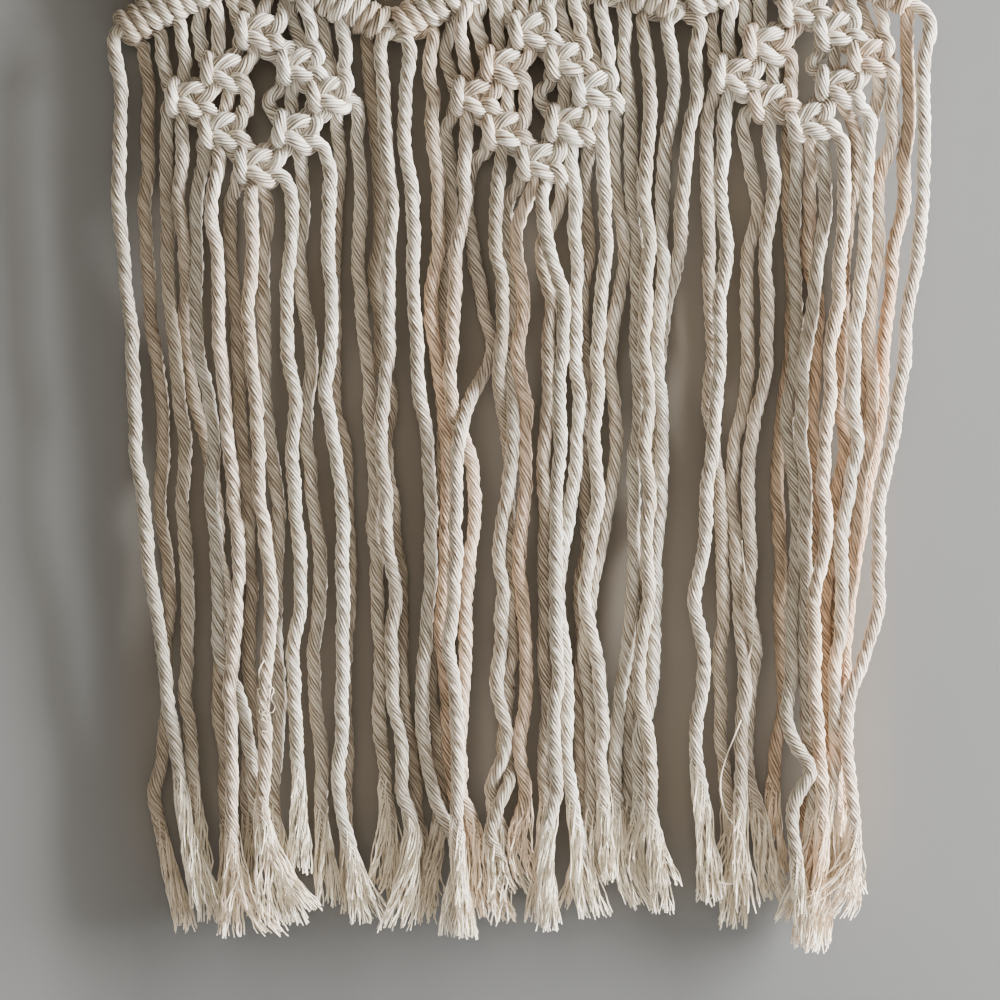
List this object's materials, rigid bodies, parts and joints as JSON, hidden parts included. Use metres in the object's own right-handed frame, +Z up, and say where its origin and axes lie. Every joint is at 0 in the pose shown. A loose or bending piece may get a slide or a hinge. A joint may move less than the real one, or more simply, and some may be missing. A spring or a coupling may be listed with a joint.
{
  "type": "macrame wall hanging",
  "caption": "Wall hanging of twisted cotton cords with a hitched heading, a zigzag of hitched bars, diamonds of square knots and a long frayed fringe.",
  "frame": {"origin": "middle of the top edge of the heading, midway between its front and its back", "axes": "+Z up along the hanging cords, +X to the right as seen from the front, +Y towards the wall"},
  "size_m": [0.2282, 0.0148, 0.2972],
  "materials": {
    "cotton_cord": "matt three-ply twisted cotton"
  },
  "bodies": {
    "root": {"macrame": "cotton_cord"}
  },
  "joints": []
}
